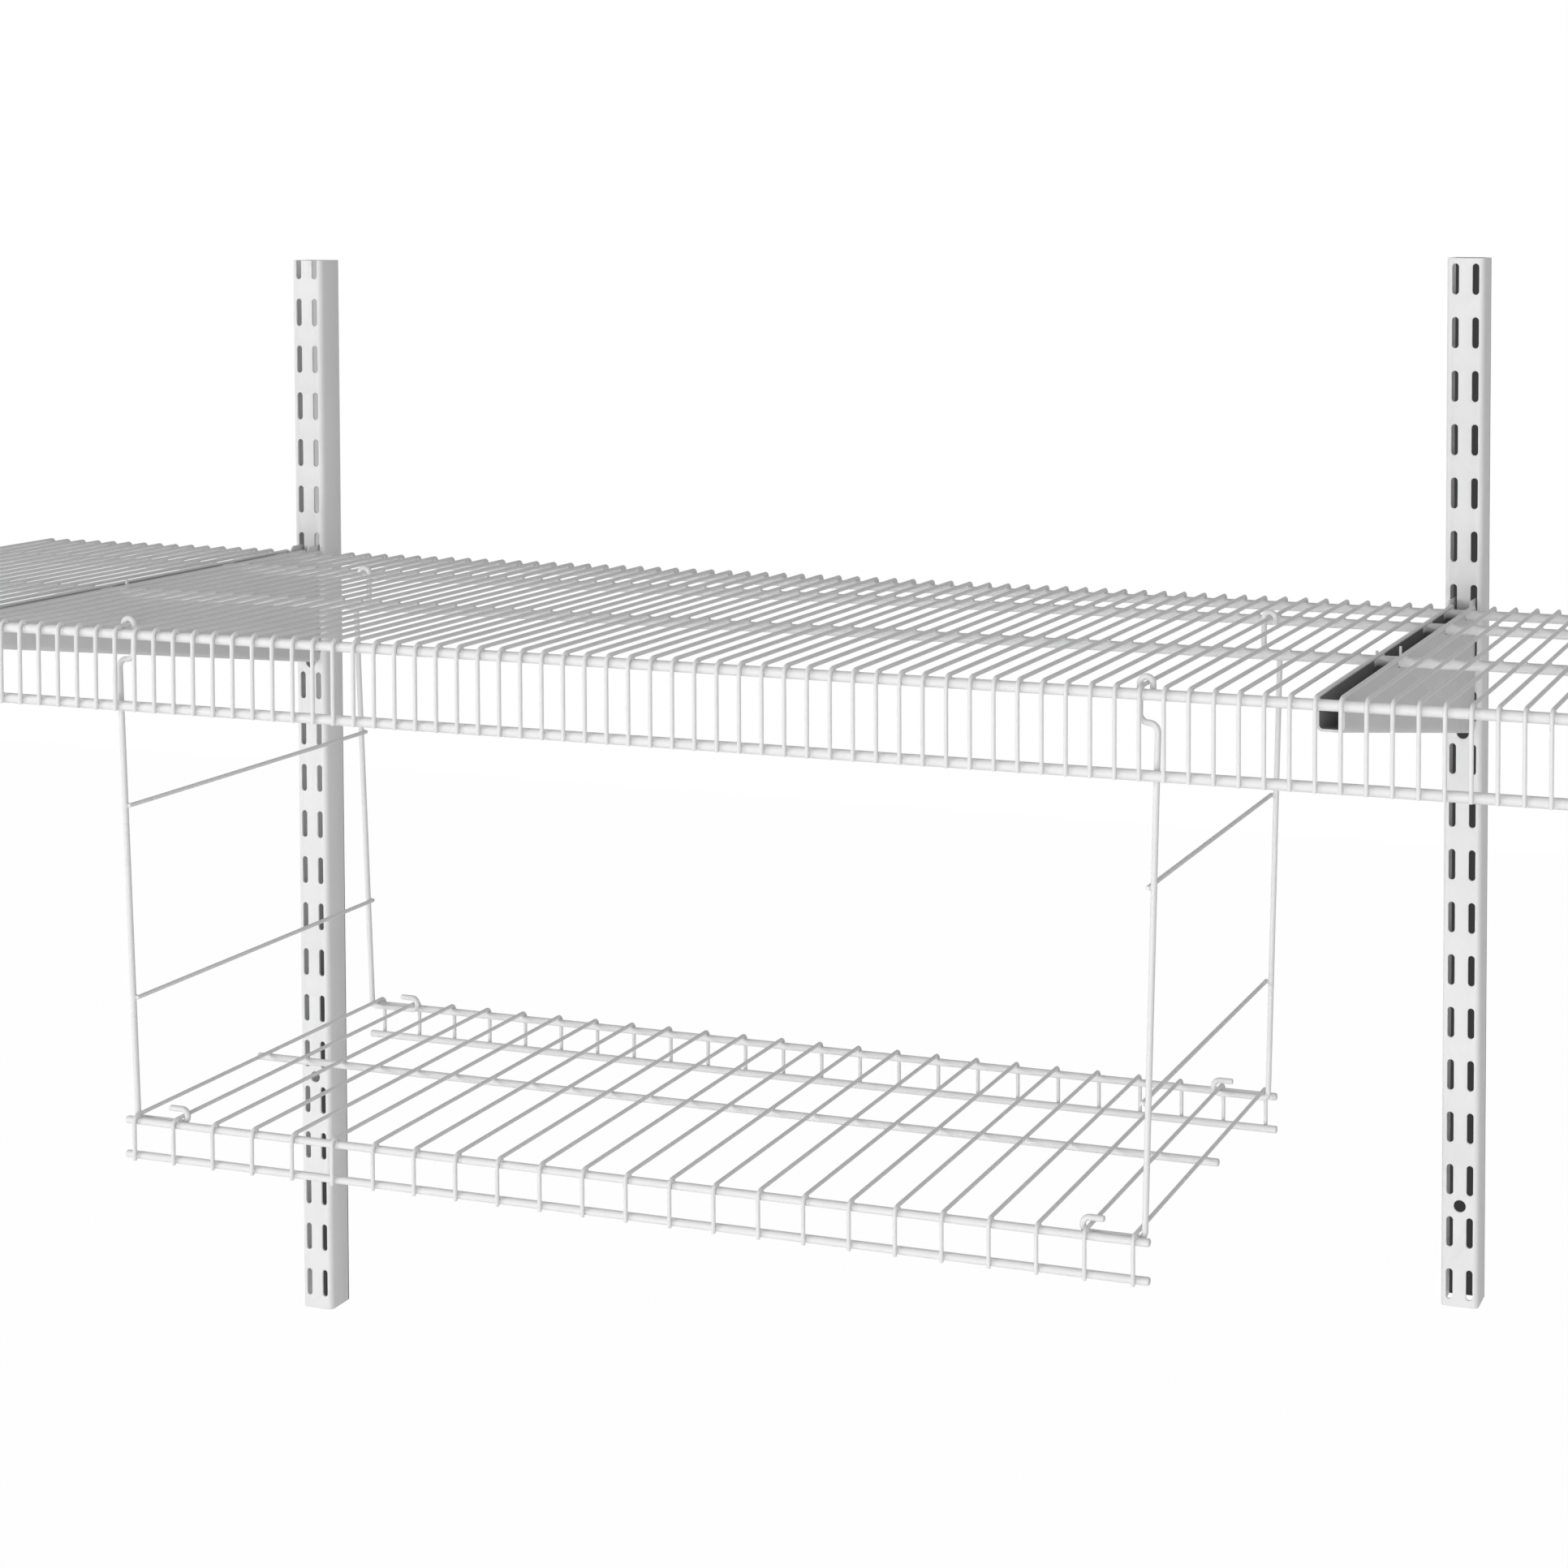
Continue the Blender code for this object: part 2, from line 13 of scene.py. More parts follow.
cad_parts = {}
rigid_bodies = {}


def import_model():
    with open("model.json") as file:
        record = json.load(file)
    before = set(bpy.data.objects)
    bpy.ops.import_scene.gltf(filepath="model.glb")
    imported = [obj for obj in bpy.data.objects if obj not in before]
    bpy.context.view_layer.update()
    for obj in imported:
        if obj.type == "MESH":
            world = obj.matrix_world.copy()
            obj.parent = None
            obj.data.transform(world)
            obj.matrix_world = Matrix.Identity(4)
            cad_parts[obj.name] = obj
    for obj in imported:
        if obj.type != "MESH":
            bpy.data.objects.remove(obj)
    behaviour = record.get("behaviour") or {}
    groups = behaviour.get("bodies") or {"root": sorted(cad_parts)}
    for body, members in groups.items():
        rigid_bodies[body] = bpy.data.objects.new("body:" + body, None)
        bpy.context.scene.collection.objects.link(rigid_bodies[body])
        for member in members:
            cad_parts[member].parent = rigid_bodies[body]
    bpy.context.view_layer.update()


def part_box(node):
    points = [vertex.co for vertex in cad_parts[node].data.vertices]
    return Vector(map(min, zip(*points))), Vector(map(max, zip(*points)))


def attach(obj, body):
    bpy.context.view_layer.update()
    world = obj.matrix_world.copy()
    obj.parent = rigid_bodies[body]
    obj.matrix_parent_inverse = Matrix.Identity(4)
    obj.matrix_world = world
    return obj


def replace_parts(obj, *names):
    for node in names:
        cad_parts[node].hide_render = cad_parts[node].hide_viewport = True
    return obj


# The photograph's camera, solved from the wire grid and the slots, in pixels of its square frame
PHOTO_SIDE = 1932
FOCAL_PIXELS = 3248.94
AXIS_X_PIXEL = 1565.25
AXIS_Y_PIXEL = 381.94
SENSOR_MM = 36
CAMERA_PLACE = (1.11911, -1.54407, 0.23913)
CAMERA_YAW = 0.2868  # radians, like pitch and roll
CAMERA_PITCH = -0.04
CAMERA_ROLL = 0.0036
CLIP_START = 0.05
CLIP_END = 60

# Wires and rods
WIRE_PITCH = 0.0127
LOWER_PITCH = 0.0254
ROD_OVERHANG = 0.006  # beyond the middle of the last cross-wire
RAIL_OVERHANG = 0.0077
WIRE = 0.0011  # radius of a cross-wire
HANGER_WIRE = 0.0016  # radius of a hanger's front and rear wire
GAP = 0.0003  # stands in for a weld or a seat
LIP_TAIL = 0.0022  # what a cross-wire reaches past the middle of its lowest rod
REAR_TAIL_DROP = 0.0042  # below the underside of the upper deck
UPPER_BEND = 0.0042
LOWER_BEND = 0.0034
MIDDLE_RAIL_SHARE = 0.505  # of the way from the front lip to the rear lip
WELD_SPREAD = 0.00155
WELD_HEIGHT = 0.0009

# Hangers
HOOK_RADIUS = 0.0034
HOOK_TIP_DROP = 0.0071
JOG_DROP = 0.0152
JOG_OUT = 0.0062
JOG_BEND = 0.0046
FOOT_BEND = 0.0034
FOOT_HOOK_HEIGHT = 0.0074
FOOT_TIP = 0.0078
HOOK_OFFSET = 24  # upper cross-wires from the left end to the left hanger
HOOK_SPAN = 47  # upper cross-wires from one hanger to the other
SEAT_GAP = 0.0006
FOOT_SIDE_GAP = 0.0009
FOOT_GAP = 0.0006

# Standards
SHEET = 0.0015
CHANNEL_CORNER = 0.003
SLOT_PITCH = 0.03175
SLOT_LENGTH = 0.0184
SLOT_WIDTH = 0.004
SLOT_COLUMN = 0.0061  # from the middle of the web to a column of slots
SLOT_ROW_Z = 0.005
SCREW_HOLE = 0.0037  # radius
SCREW_ROWS = 9  # rows of slots from one screw hole to the next
SCREW_OFFSET_ROWS = -2.5
PUNCHED_EDGE = 0.00035

# Brackets
BRACKET_SHEET = 0.0014
BRACKET_CORNER = 0.0034
BRACKET_TOP_Z = 0.0024
NOSE_BOTTOM_Z = -0.016
FINGER_TOP_Z = 0.0075
NUB_TOP_Z = 0.0045
FINGER_WIDTH = 0.0018
FINGER_ROOT = 0.006
TONGUE_SHEET = 0.0012
TONGUE_TOP_Z = 0.0058
TONGUE_REACH = 0.003
HOOK_GAP = 0.0006
HOOK_DROP = 0.0055
HOOK_ROWS = (0, -2)
SHOULDER_LENGTH = 0.0125
SHOULDER_RUN = 0.004
SHOULDER_ROOT = 0.012
NOTCH_FRONT_GAP = 0.0012
NOTCH_CORNER_SHARE = 0.6  # of the rod's radius
SHEARED_EDGE = 0.0003
FOLD_SHADE_DEPTH = 0.0006  # below its top edges, a bracket's inside is darkened with painted shade
FOLD_SHADE_FADE = 0.0015
RIM_SLOT = 1  # material slots of sheet metal, after the coat's own
FOLD_SHADE_SLOT = 2

# Mesh detail
ROD_SIDES = 20
WIRE_SIDES = 14
WELD_SIDES = 12
WELD_TILTS = (-80, -45, 0, 45, 80)
RIM_SHARE = 0.45  # rounding of a cut end, as a share of the wire's radius
RIM_ANGLES = (90, 60, 30, 0)
ARC_FACETS = 8
SLOT_FACETS = 10
HOLE_FACETS = 32
NOTCH_FACETS = 4
EDGE_SEGMENTS = 2
SHARP_ANGLE = math.radians(40)

# Colours, linear
WHITE = (1, 1, 1)
WIRE_COAT = (0.81, 0.81, 0.812)
STANDARD_COAT = (0.83, 0.83, 0.832)
# painted shade: darker than the standards' coat of the same white, to match how dim the brackets'
# sides look
BRACKET_COAT = (0.72, 0.72, 0.722)
# painted shade: the dark colour painted inside a bracket, where its fold lies in shade
FOLD_PAINTED_SHADE = (0.26, 0.262, 0.262)
# painted shade: a little darker than the wire coat, for the shade round each joint
WELD_COAT = (0.76, 0.76, 0.762)
SCUFF_SHARE = (0.93, 0.925, 0.915)  # of a coat's colour, where it is handled
RIM_WEAR_SHARE = (0.66, 0.66, 0.65)  # where it is thin along an edge

# Each coat: its colour, the share of it where worn, how much wear, the depth of orange peel, and
# for a bracket's inside its painted shade colour
COATS = {
    "wire_coat": (WIRE_COAT, SCUFF_SHARE, 0.25, 0.000014),
    "weld_coat": (WELD_COAT, SCUFF_SHARE, 0.5, 0.00003),
    "standard_coat": (STANDARD_COAT, SCUFF_SHARE, 0.3, 0.00001),
    "standard_rim_coat": (STANDARD_COAT, RIM_WEAR_SHARE, 0.8, 0.00001),
    "bracket_coat": (BRACKET_COAT, SCUFF_SHARE, 0.4, 0.00001),
    "bracket_rim_coat": (BRACKET_COAT, RIM_WEAR_SHARE, 1, 0.00001),
    "bracket_fold_painted_shade": (BRACKET_COAT, SCUFF_SHARE, 0.4, 0.00001, FOLD_PAINTED_SHADE),
}

# What the coats share; a noise is its scale and detail, and its range is what gets mapped
COAT_IOR = 1.5
COAT_SPECULAR = 0.25
SHADE_SHARE = 0.96  # darker tone, as a share of the colour
OWN_TONE_MOST = 0.8  # of the way to the darker tone, for the darkest wire of a piece
CLOUD_NOISE = (16, 2)
CLOUD_RANGE = (0.35, 0.68)
SPECK_NOISE = (2600, 1)
SPECK_RANGE = (0.62, 0.74)
SPECK_MOST = 0.35
WEAR_NOISE = (90, 5)
WEAR_RANGE = (0.6, 0.78)
GLOSS_NOISE = (160, 4)
GLOSS_RANGE = (0.3, 0.7)
ROUGHNESS = (0.46, 0.58)
PEEL_NOISE = (620, 2)
PEEL_STRENGTH = 0.35

# Stage
FLOOR_Z = -1.9
FLOOR_SIDE = 14
FLOOR_COLOUR = (0.85, 0.85, 0.85)
FLOOR_WHITE_SHARE = 0.985  # of plain white, to the camera
WALL_STRIP_GAP = 0.0005
WALL_COLOUR = (0.8, 0.8, 0.8)
WALL_CLEAR_SHARE = 0.1  # lets some light into the open back of a standard
# Each standard's wall strip glows to the camera with painted light and shade, brighter above on
# the left one
WALL_FADE_Z = (-0.3, 0.02)
WALL_PAINTED_LIGHT = {"left_standard": (0.05, 0.46), "right_standard": (0.04, 0.045)}  # painted light and shade that glow to the camera, at those heights

# Light
WORLD_LEVEL = 0.5  # at the horizon
WORLD_TOP_LEVEL = 0.27
WORLD_LOW_SHARE = 0.45  # straight below, of the level at the horizon
LIGHT_TARGET = (0.35, -0.2, -0.1)
# Each area light: its place, its width and height, and its watts
AREA_LIGHTS = {
    "key": ((-3.1, -3.3, 1.1), (1.8, 1.6), 70),
    "low_fill": ((0.3, -3.9, -1.7), (2.4, 1.0), 36),
    "front_fill": ((1.5, -3.4, 0.1), (1.4, 1.2), 36),
}


def clear_scene():
    for obj in list(bpy.data.objects):
        bpy.data.objects.remove(obj, do_unlink=True)


# Mesh helpers
def mesh_object(name, points, faces):
    mesh = bpy.data.meshes.new(name)
    mesh.from_pydata(points, [], faces)
    mesh.update()
    obj = bpy.data.objects.new(name, mesh)
    bpy.context.scene.collection.objects.link(obj)
    return obj


def smooth(obj):
    mesh = obj.data
    mesh.polygons.foreach_set("use_smooth", [True] * len(mesh.polygons))
    mesh.set_sharp_from_angle(angle=SHARP_ANGLE)


def joined(shapes):
    """One (points, faces) pair from many."""
    points = []
    faces = []
    for some_points, some_faces in shapes:
        start = len(points)
        points += some_points
        faces += [[index + start for index in face] for face in some_faces]
    return points, faces


def loft(rings):
    """A closed skin over rings that have the same number of points, with flat ends."""
    count = len(rings[0])
    points = [point for ring in rings for point in ring]
    faces = [list(reversed(range(count)))]
    for level in range(len(rings) - 1):
        low = level * count
        high = low + count
        for side in range(count):
            after = (side + 1) % count
            faces.append([low + side, low + after, high + after, high + side])
    faces.append([(len(rings) - 1) * count + side for side in range(count)])
    return points, faces


def arc(centre, radius, start, end, facets):
    """Flat points round a centre, from one angle to another in degrees."""
    spots = []
    for step in range(facets + 1):
        angle = math.radians(start + (end - start) * step / facets)
        spots.append((centre[0] + radius * math.cos(angle), centre[1] + radius * math.sin(angle)))
    return spots


def rounded(corners, facets=ARC_FACETS):
    """A flat path through (a, b, radius) corners; a corner of radius 0 stays a point."""
    path = []
    for index, (a, b, radius) in enumerate(corners):
        here = Vector((a, b))
        if radius == 0:
            path.append(here)
            continue
        back = (Vector(corners[index - 1][:2]) - here).normalized()
        ahead = (Vector(corners[index + 1][:2]) - here).normalized()
        half = back.angle(ahead) / 2
        middle = here + (back + ahead).normalized() * radius / math.sin(half)
        first = here + back * radius / math.tan(half) - middle
        turn = first.angle_signed(here + ahead * radius / math.tan(half) - middle)
        for step in range(facets + 1):
            angle = -turn * step / facets
            cos, sin = math.cos(angle), math.sin(angle)
            point = middle + Vector((first.x * cos - first.y * sin, first.x * sin + first.y * cos))
            if step > 0 or (point - path[-1]).length > GAP:
                path.append(point)
    return path


def wire_along(path, across, radius, sides=WIRE_SIDES):
    """A round wire with rounded ends along a path that lies in a plane square to across."""
    path = [Vector(point) for point in path]
    across = Vector(across).normalized()
    rings = []

    def add_ring(centre, along, size, stretch):
        side = across.cross(along)
        ring = []
        for step in range(sides):
            angle = 2 * math.pi * step / sides
            offset = side * math.cos(angle) * stretch + across * math.sin(angle)
            ring.append(centre + offset * size)
        rings.append(ring)

    def add_end(tip, inwards, along, angles):
        rim = radius * RIM_SHARE
        for angle in angles:
            inset = rim * (1 - math.sin(math.radians(angle)))
            size = radius - rim + rim * math.cos(math.radians(angle))
            add_ring(tip + inwards * inset, along, size, 1)

    start_along = (path[1] - path[0]).normalized()
    end_along = (path[-1] - path[-2]).normalized()
    add_end(path[0], start_along, start_along, RIM_ANGLES)
    for before, point, after in zip(path, path[1:], path[2:]):
        back = (point - before).normalized()
        along = (back + (after - point).normalized()).normalized()
        add_ring(point, along, radius, 1 / along.dot(back))
    add_end(path[-1], -end_along, end_along, reversed(RIM_ANGLES))
    return loft(rings)


def weld_bead(centre, normal, along):
    """The soft collar of coat where two wires are welded; normal points from one to the other."""
    normal = Vector(normal).normalized()
    along = Vector(along).normalized()
    side = normal.cross(along)
    rings = []
    for tilt in WELD_TILTS:
        spread = WELD_SPREAD * math.cos(math.radians(tilt))
        lift = WELD_HEIGHT * math.sin(math.radians(tilt))
        ring = []
        for step in range(WELD_SIDES):
            angle = 2 * math.pi * step / WELD_SIDES
            offset = (along * math.cos(angle) + side * math.sin(angle)) * spread + normal * lift
            ring.append(Vector(centre) + offset)
        rings.append(ring)
    return loft(rings)


def extruded(outline, place):
    """A prism; place(a, b, end) gives where a point of the outline is at its end 0 or 1."""
    return loft([[Vector(place(a, b, end)) for a, b in outline] for end in (0, 1)])


def apply_modifiers(obj):
    bpy.context.view_layer.update()
    graph = bpy.context.evaluated_depsgraph_get()
    made = bpy.data.meshes.new_from_object(obj.evaluated_get(graph))
    obj.modifiers.clear()
    obj.data = made


def combine(obj, shape, operation):
    """Applies a Boolean with that shape to obj's own mesh."""
    other = mesh_object(obj.name + "_tool", *shape)
    modifier = obj.modifiers.new("tool", "BOOLEAN")
    modifier.operation = operation
    modifier.solver = "EXACT"
    modifier.object = other
    apply_modifiers(obj)
    bpy.data.objects.remove(other, do_unlink=True)


def break_edges(obj, width, *coats):
    """Rounds the sharp edges of sheet metal as its coat does, in the second of its coats."""
    for coat in coats:
        obj.data.materials.append(coat)
    modifier = obj.modifiers.new("edges", "BEVEL")
    modifier.width = width
    modifier.segments = EDGE_SEGMENTS
    modifier.limit_method = "ANGLE"
    modifier.angle_limit = SHARP_ANGLE
    modifier.use_clamp_overlap = True
    modifier.material = RIM_SLOT
    apply_modifiers(obj)


def finished(obj, body, material, slot, *nodes):
    """Gives a piece its body and, where it has none, its coat, and lets it stand for CAD nodes."""
    if not obj.data.materials:
        obj.data.materials.append(material)
    smooth(obj)
    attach(obj, body)
    if nodes:
        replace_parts(obj, *nodes)
    return obj


def middle(node):
    low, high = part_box(node)
    return (low + high) / 2


def half_height(node):
    low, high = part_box(node)
    return (high.z - low.z) / 2


# Node helpers
def feed(tree, socket, value):
    """Links a socket to another node's output, or sets it to a number or colour."""
    if isinstance(value, bpy.types.NodeSocket):
        tree.links.new(value, socket)
    elif isinstance(value, tuple):
        socket.default_value = (*value, 1)
    else:
        socket.default_value = value


def emptied_tree(owner):
    owner.use_nodes = True
    owner.node_tree.nodes.clear()
    return owner.node_tree


def height_in(tree, coordinates):
    place = tree.nodes.new("ShaderNodeTexCoord")
    split = tree.nodes.new("ShaderNodeSeparateXYZ")
    tree.links.new(place.outputs[coordinates], split.inputs["Vector"])
    return split.outputs["Z"]


def mapped(tree, value, source, target):
    node = tree.nodes.new("ShaderNodeMapRange")
    for name, end in zip(("From Min", "From Max", "To Min", "To Max"), (*source, *target)):
        node.inputs[name].default_value = end
    tree.links.new(value, node.inputs["Value"])
    return node.outputs["Result"]


def calculated(tree, operation, first, second):
    node = tree.nodes.new("ShaderNodeMath")
    node.operation = operation
    feed(tree, node.inputs[0], first)
    feed(tree, node.inputs[1], second)
    return node.outputs[0]


def mixed_colour(tree, factor, first, second):
    node = tree.nodes.new("ShaderNodeMix")
    node.data_type = "RGBA"
    for name, value in (("Factor", factor), ("A", first), ("B", second)):
        feed(tree, node.inputs[name], value)
    return node.outputs["Result"]


def mixed_shader(tree, factor, first, second):
    node = tree.nodes.new("ShaderNodeMixShader")
    for socket, value in zip(node.inputs, (factor, first, second)):
        feed(tree, socket, value)
    return node.outputs["Shader"]


def plain_shader(tree, kind, colour, strength=None):
    """A diffuse or see-through surface, or light of that strength."""
    node = tree.nodes.new(kind)
    feed(tree, node.inputs["Color"], colour)
    if strength is not None:
        feed(tree, node.inputs["Strength"], strength)
    return node.outputs[0]


def seen_rays(tree):
    """1 for what the camera sees directly, in a gloss or through glass, and 0 for light."""
    rays = tree.nodes.new("ShaderNodeLightPath")
    shown = rays.outputs["Is Camera Ray"]
    for kind in ("Is Glossy Ray", "Is Transmission Ray"):
        shown = calculated(tree, "MAXIMUM", shown, rays.outputs[kind])
    return shown


# Coats
def coat_material(name, colour, worn_share, wear, peel, painted_shade=None):
    """Powder or epoxy coat: faint mottling, orange peel, and patches of worn_share of its colour.

    Each wire or rod of a piece has its own slight tone, and painted_shade is a dark colour painted
    inside a bracket as shade.
    """
    material = bpy.data.materials.new(name)
    material.use_nodes = True
    tree = material.node_tree
    nodes = tree.nodes
    shader = nodes["Principled BSDF"]
    shader.inputs["Metallic"].default_value = 0
    shader.inputs["IOR"].default_value = COAT_IOR
    shader.inputs["Specular IOR Level"].default_value = COAT_SPECULAR
    place = nodes.new("ShaderNodeTexCoord").outputs["Object"]
    island = nodes.new("ShaderNodeNewGeometry").outputs["Random Per Island"]

    def noise(scale, detail):
        node = nodes.new("ShaderNodeTexNoise")
        node.inputs["Scale"].default_value = scale
        node.inputs["Detail"].default_value = detail
        tree.links.new(place, node.inputs["Vector"])
        return node.outputs["Fac"]

    shade = tuple(part * SHADE_SHARE for part in colour)
    worn_colour = tuple(part * share for part, share in zip(colour, worn_share))
    tone = mapped(tree, island, (0, 1), (0, OWN_TONE_MOST))
    cloud = mapped(tree, noise(*CLOUD_NOISE), CLOUD_RANGE, (0, 1))
    speck = mapped(tree, noise(*SPECK_NOISE), SPECK_RANGE, (0, SPECK_MOST))
    worn = mapped(tree, noise(*WEAR_NOISE), WEAR_RANGE, (0, wear))
    coat = mixed_colour(tree, tone, colour, shade)
    coat = mixed_colour(tree, cloud, coat, shade)
    coat = mixed_colour(tree, speck, coat, shade)
    coat = mixed_colour(tree, worn, coat, worn_colour)
    # painted shade: below its top edges, a bracket's inside fades to the dark colour
    if painted_shade:
        top = BRACKET_TOP_Z - FOLD_SHADE_DEPTH
        inside = mapped(tree, height_in(tree, "Object"), (top, top - FOLD_SHADE_FADE), (0, 1))
        coat = mixed_colour(tree, inside, coat, painted_shade)
    tree.links.new(coat, shader.inputs["Base Color"])
    roughness = mapped(tree, noise(*GLOSS_NOISE), GLOSS_RANGE, ROUGHNESS)
    tree.links.new(roughness, shader.inputs["Roughness"])
    bump = nodes.new("ShaderNodeBump")
    bump.inputs["Strength"].default_value = PEEL_STRENGTH
    bump.inputs["Distance"].default_value = peel
    tree.links.new(noise(*PEEL_NOISE), bump.inputs["Height"])
    tree.links.new(bump.outputs["Normal"], shader.inputs["Normal"])
    return material


# Shelves
def rod(name, node, body, material, y=None, z=None, radius=None):
    """A round rod with rounded ends, as long as its CAD node and by default in its middle."""
    low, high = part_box(node)
    centre = middle(node)
    y = centre.y if y is None else y
    z = centre.z if z is None else z
    radius = half_height(node) if radius is None else radius
    shape = wire_along([(low.x, y, z), (high.x, y, z)], (0, 1, 0), radius, ROD_SIDES)
    return finished(mesh_object(name, *shape), body, material, "wire")


def coated_rod(node, body, material):
    """A rod that stands for the whole of its CAD node."""
    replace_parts(rod(node + "_coated", node, body, material), node)


def wire_centres(low_x, high_x, overhang, pitch):
    first = low_x + overhang
    count = round((high_x - low_x - 2 * overhang) / pitch) + 1
    return [first + index * pitch for index in range(count)]


def wires(name, path, centres, body, material, *nodes):
    shapes = [wire_along([(x, y, z) for y, z in path], (1, 0, 0), WIRE) for x in centres]
    finished(mesh_object(name, *joined(shapes)), body, material, "wire", *nodes)


def weld_row(centres, y, z, normal):
    return [((x, y, z), normal, (1, 0, 0)) for x in centres]


def beads(name, spots, body, material):
    shapes = [weld_bead(*spot) for spot in spots]
    finished(mesh_object(name, *joined(shapes)), body, material, "wire")


def upper_shelf(coat, weld_coat):
    """The upper shelf, and where its cross-wires are along X."""
    body = "upper_shelf"
    low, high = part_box("upper_shelf_mat")
    rod_radius = half_height("upper_front_rod")
    wire_z = rod_radius + GAP + WIRE
    front_plane = low.y + WIRE
    rear_plane = high.y - WIRE
    lip_z = low.z + rod_radius
    lip_y = middle("upper_front_rod").y - GAP
    centres = wire_centres(low.x, high.x, ROD_OVERHANG, WIRE_PITCH)
    path = rounded(
        [
            (rear_plane, wire_z - REAR_TAIL_DROP - WIRE, 0),
            (rear_plane, wire_z, WIRE + GAP + WIRE),
            (front_plane, wire_z, UPPER_BEND),
            (front_plane, lip_z - LIP_TAIL, 0),
        ]
    )
    wires("upper_cross_wires", path, centres, body, coat, "upper_shelf_mat")
    rod("upper_lip_rod", "upper_shelf_mat", body, coat, lip_y, lip_z, rod_radius)
    spots = []
    for node in ("upper_front_rod", "upper_mid_rod_front", "upper_mid_rod_back", "upper_rear_rod"):
        coated_rod(node, body, coat)
        spots += weld_row(centres, middle(node).y, rod_radius + GAP / 2, (0, 0, 1))
    spots += weld_row(centres, front_plane + WIRE, lip_z, (0, 1, 0))
    beads("upper_welds", spots, body, weld_coat)
    return centres


def lower_shelf(coat, weld_coat):
    """The lower shelf, where its cross-wires are along X, and how high they lie."""
    body = "hanging_shelf"
    low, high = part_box("lower_front_lip")
    radius = half_height("lower_front_top_rail")
    bottom_z = low.z + radius
    weld_z = middle("lower_front_top_rail").z + radius + GAP
    wire_z = weld_z + WIRE
    front_plane = low.y + WIRE
    rear_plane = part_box("lower_rear_lip")[1].y - WIRE
    centres = wire_centres(low.x, high.x, RAIL_OVERHANG, LOWER_PITCH)
    path = rounded(
        [
            (rear_plane, bottom_z - LIP_TAIL, 0),
            (rear_plane, wire_z, LOWER_BEND),
            (front_plane, wire_z, LOWER_BEND),
            (front_plane, bottom_z - LIP_TAIL, 0),
        ]
    )
    nodes = ("lower_deck", "lower_front_lip", "lower_rear_lip")
    wires("lower_cross_wires", path, centres, body, coat, *nodes)
    spots = []
    for node in ("lower_front_top_rail", "lower_rear_top_rail"):
        coated_rod(node, body, coat)
        spots += weld_row(centres, middle(node).y, weld_z, (0, 0, 1))
    middle_y = front_plane + (rear_plane - front_plane) * MIDDLE_RAIL_SHARE
    middle_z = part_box("lower_deck")[0].z + radius
    rod("lower_middle_rail", "lower_deck", body, coat, middle_y, middle_z, radius)
    spots += weld_row(centres, middle_y, weld_z, (0, 0, 1))
    for name, plane, inwards in (("front", front_plane, 1), ("rear", rear_plane, -1)):
        y = plane + inwards * (WIRE + radius)
        rod(f"lower_{name}_bottom_rail", "lower_deck", body, coat, y, bottom_z, radius)
        spots += weld_row(centres, plane + inwards * WIRE, bottom_z, (0, inwards, 0))
    beads("lower_welds", spots, body, weld_coat)
    return centres, wire_z


# Hangers
def hanger(side_name, side, hook_x, end_wire_x, wire_z, coat, weld_coat):
    """Both wires and both ties of a hanger; side is -1 for the left one and 1 for the right one.

    A wire's path runs from its hook down and out over a jog to its foot, which is clipped round
    the lower cross-wire next to the end one.
    """
    body = "hanging_shelf"
    foot_z = wire_z - WIRE - FOOT_GAP - HANGER_WIRE
    upper_wire_z = half_height("upper_front_rod") + GAP + WIRE
    apex_z = upper_wire_z + WIRE + SEAT_GAP + HANGER_WIRE
    beside = WIRE + FOOT_SIDE_GAP + HANGER_WIRE
    foot_out = side * (end_wire_x - hook_x) + beside
    inner_out = foot_out - LOWER_PITCH - 2 * beside
    hook_bend = FOOT_HOOK_HEIGHT / 2
    hook_top = foot_z + FOOT_HOOK_HEIGHT
    path = rounded(
        [
            (HOOK_RADIUS, apex_z - HOOK_TIP_DROP, 0),
            (HOOK_RADIUS, apex_z, HOOK_RADIUS),
            (-HOOK_RADIUS, apex_z, HOOK_RADIUS),
            (-HOOK_RADIUS, -JOG_DROP, JOG_BEND),
            (JOG_OUT, -JOG_DROP, JOG_BEND),
            (foot_out, foot_z, FOOT_BEND),
            (inner_out, foot_z, hook_bend),
            (inner_out, hook_top, hook_bend),
            (inner_out + hook_bend + FOOT_TIP, hook_top, 0),
        ]
    )
    planes = []
    for place in ("front", "rear"):
        node = f"{side_name}_hanger_{place}_wire"
        low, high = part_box(node)
        lean = (high.y - low.y - 2 * HANGER_WIRE) / (apex_z - foot_z)
        foot_y = low.y + HANGER_WIRE
        points = [(hook_x + side * out, foot_y + lean * (z - foot_z), z) for out, z in path]
        shape = wire_along(points, (0, 1, -lean), HANGER_WIRE)
        finished(mesh_object(node + "_coated", *shape), body, coat, "hanger", node)
        planes.append((foot_y, lean))
    slope = (foot_out - JOG_OUT) / (foot_z + JOG_DROP)
    spots = []
    for place in ("upper", "lower"):
        node = f"{side_name}_hanger_{place}_tie"
        low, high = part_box(node)
        x, _, z = middle(node)
        shape = wire_along([(x, low.y, z), (x, high.y, z)], (0, 0, 1), half_height(node))
        finished(mesh_object(node + "_coated", *shape), body, coat, "hanger", node)
        main_x = hook_x + side * (JOG_OUT + slope * (z + JOG_DROP))
        contact_x = main_x - side * (HANGER_WIRE + GAP / 2)
        for foot_y, lean in planes:
            spots.append(((contact_x, foot_y + lean * (z - foot_z), z), (1, 0, 0), (0, 1, 0)))
    beads(f"{side_name}_hanger_welds", spots, body, weld_coat)


